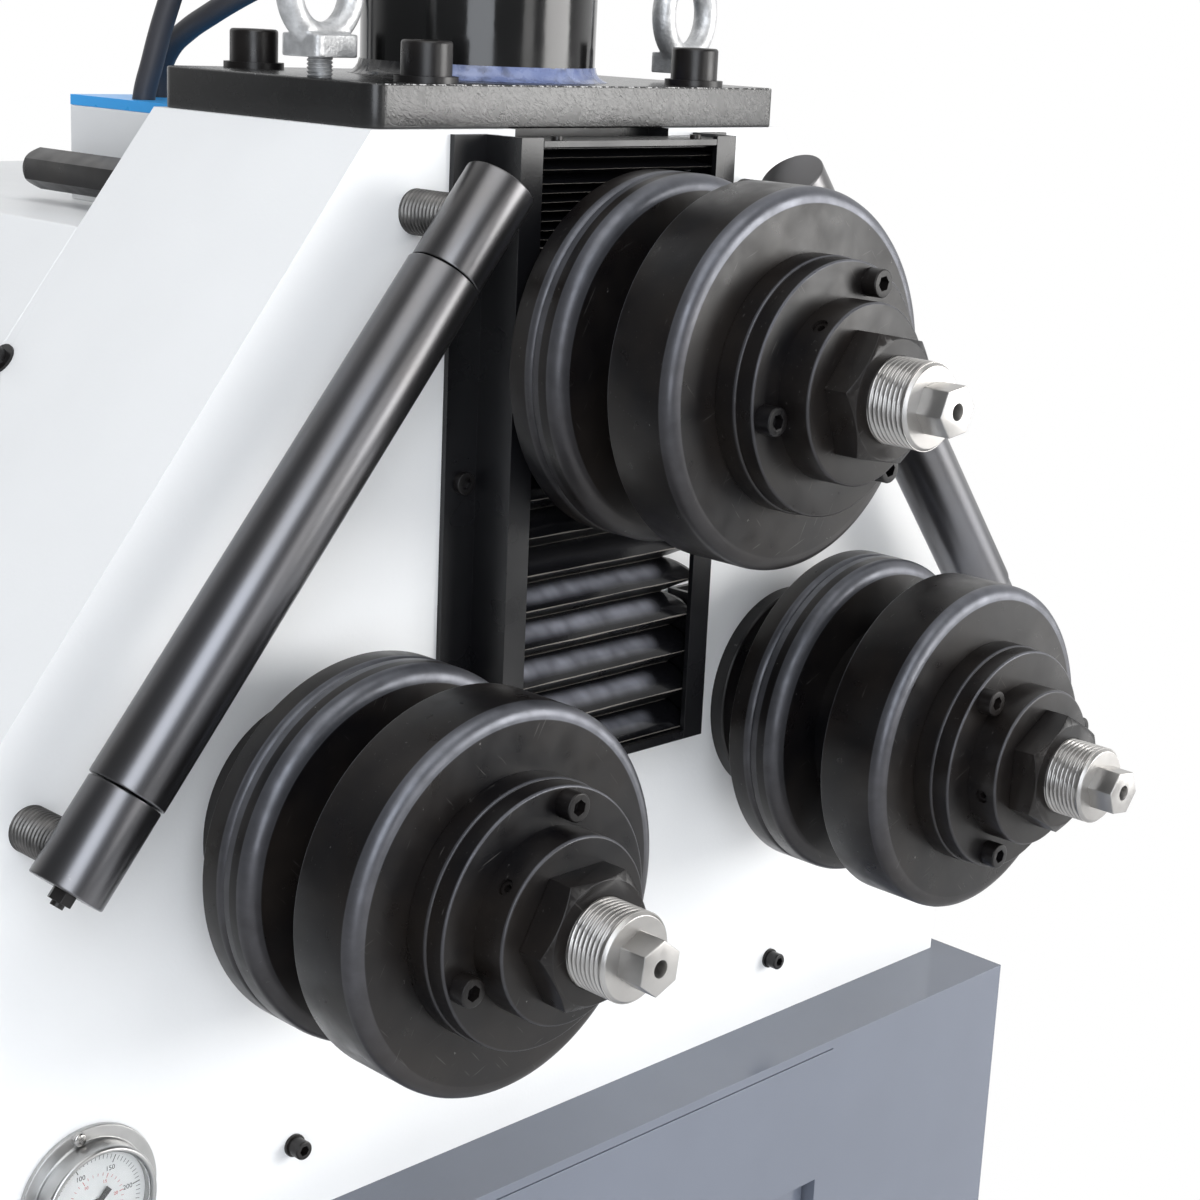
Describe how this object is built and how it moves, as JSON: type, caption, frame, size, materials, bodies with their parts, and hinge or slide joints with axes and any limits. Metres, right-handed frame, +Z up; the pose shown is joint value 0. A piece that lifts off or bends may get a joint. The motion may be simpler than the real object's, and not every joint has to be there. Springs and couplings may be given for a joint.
{
  "type": "ring roller",
  "caption": "Floor-standing ring roller: a raised roller feeds down between two geared rollers, with slanted guide rollers, bellows, cylinder, gauge and cabinet.",
  "frame": {"origin": "on the floor, at the middle of the footprint", "axes": "+X to the right as seen from the front, +Y backwards into the machine, +Z up"},
  "size_m": [0.706, 0.827, 1.4685],
  "materials": {
    "white_paint": "fine textured powder coat",
    "grey_paint": "smooth gloss enamel",
    "blue_paint": "smooth gloss enamel",
    "black_paint": "gloss black paint over rough plate",
    "black_oxide": "black oxide, satin",
    "bright_steel": "turned",
    "galvanised": "galvanised, rough",
    "cast": "painted casting",
    "bellows_sheet": "glossy coated sheet",
    "hose_rubber": "matt",
    "gauge_chrome": "polished",
    "dial": "printed scale",
    "black_plastic": "satin",
    "clear": "clear"
  },
  "bodies": {
    "machine": {"base_cabinet": "grey_paint", "hydraulic_tank": "grey_paint", "pump_unit": "cast", "head_frame": "white_paint", "rear_housing": "white_paint", "rear_bar": "black_oxide", "valve_box": "white_paint", "valve_box_lid": "blue_paint", "top_plate": "black_paint", "plate_screws": "black_oxide", "eye_bolts": "galvanised", "cylinder_barrel": "black_paint", "cylinder_cap": "black_paint", "hose_fittings": "bright_steel", "hose_to_cap": "hose_rubber", "hose_to_gland": "hose_rubber", "slide_ways": "bright_steel", "left_rail": "black_paint", "right_rail": "black_paint", "bellows_bars": "black_paint", "frame_screws": "black_oxide", "upper_bellows": "bellows_sheet", "lower_bellows": "bellows_sheet", "shaft_bearings": "black_oxide", "guide_studs": "black_oxide", "guide_blocks": "black_oxide", "guide_axles": "bright_steel", "gauge_case": "gauge_chrome", "gauge_dial": "dial", "gauge_glass": "clear", "gear_motor": "cast"},
    "top_slide": {"slide_block": "black_oxide", "slide_bearings": "bright_steel", "piston_rod": "bright_steel"},
    "top_roller": {"upper_shaft": "bright_steel", "upper_rear_roll": "black_oxide", "upper_front_roll": "black_oxide", "upper_collar": "black_oxide", "upper_collar_screws": "black_oxide", "upper_nut": "black_oxide"},
    "left_roller": {"left_shaft": "bright_steel", "left_rear_roll": "black_oxide", "left_front_roll": "black_oxide", "left_collar": "black_oxide", "left_collar_screws": "black_oxide", "left_nut": "black_oxide", "left_gear": "bright_steel"},
    "right_roller": {"right_shaft": "bright_steel", "right_rear_roll": "black_oxide", "right_front_roll": "black_oxide", "right_collar": "black_oxide", "right_collar_screws": "black_oxide", "right_nut": "black_oxide", "right_gear": "bright_steel"},
    "pinion": {"drive_pinion": "bright_steel"},
    "left_guide": {"left_guide_sleeve": "black_oxide"},
    "right_guide": {"right_guide_sleeve": "black_oxide"},
    "door": {"cabinet_door": "grey_paint"},
    "latch": {"door_latch": "black_plastic"},
    "needle": {"gauge_needle": "black_plastic"}
  },
  "joints": [
    {"name": "slide_feed", "type": "slide", "parent": "machine", "child": "top_slide", "axis": [0, 0, 1], "range_m": [-0.13, 0], "deforming": ["upper_bellows", "lower_bellows"]},
    {"name": "top_roller_turn", "type": "hinge", "parent": "top_slide", "child": "top_roller", "pos_m": [0, -0.1865, 1.0565], "axis": [0, 1, 0], "continuous": true},
    {"name": "left_roller_turn", "type": "hinge", "parent": "machine", "child": "left_roller", "pos_m": [-0.17, -0.1865, 0.8465], "axis": [0, 1, 0], "continuous": true},
    {"name": "right_roller_turn", "type": "hinge", "parent": "machine", "child": "right_roller", "pos_m": [0.17, -0.1865, 0.8465], "axis": [0, 1, 0], "continuous": true},
    {"name": "pinion_turn", "type": "hinge", "parent": "machine", "child": "pinion", "pos_m": [0, 0.0135, 0.8465], "axis": [0, 1, 0], "continuous": true},
    {"name": "left_guide_turn", "type": "hinge", "parent": "machine", "child": "left_guide", "pos_m": [-0.21475, -0.2285, 0.99875], "axis": [0.6324, 0, 0.7746], "continuous": true},
    {"name": "right_guide_turn", "type": "hinge", "parent": "machine", "child": "right_guide", "pos_m": [0.21475, -0.2285, 0.99875], "axis": [-0.6324, 0, 0.7746], "continuous": true},
    {"name": "door_swing", "type": "hinge", "parent": "machine", "child": "door", "pos_m": [-0.175, -0.24, 0.317], "axis": [0, 0, -1], "range_deg": [0, 110]},
    {"name": "latch_turn", "type": "hinge", "parent": "door", "child": "latch", "pos_m": [0.149, -0.2245, 0.317], "axis": [0, 1, 0], "range_deg": [0, 90]},
    {"name": "needle_turn", "type": "hinge", "parent": "machine", "child": "needle", "pos_m": [-0.292, -0.1935, 0.6925], "axis": [0, 1, 0], "range_deg": [0, 270], "stiffness_Nm_per_rad": 0.0005}
  ],
  "couplings": [
    {"joint": "right_roller_turn", "follows": "left_roller_turn", "ratio": 1},
    {"joint": "pinion_turn", "follows": "left_roller_turn", "ratio": -1.8333}
  ]
}
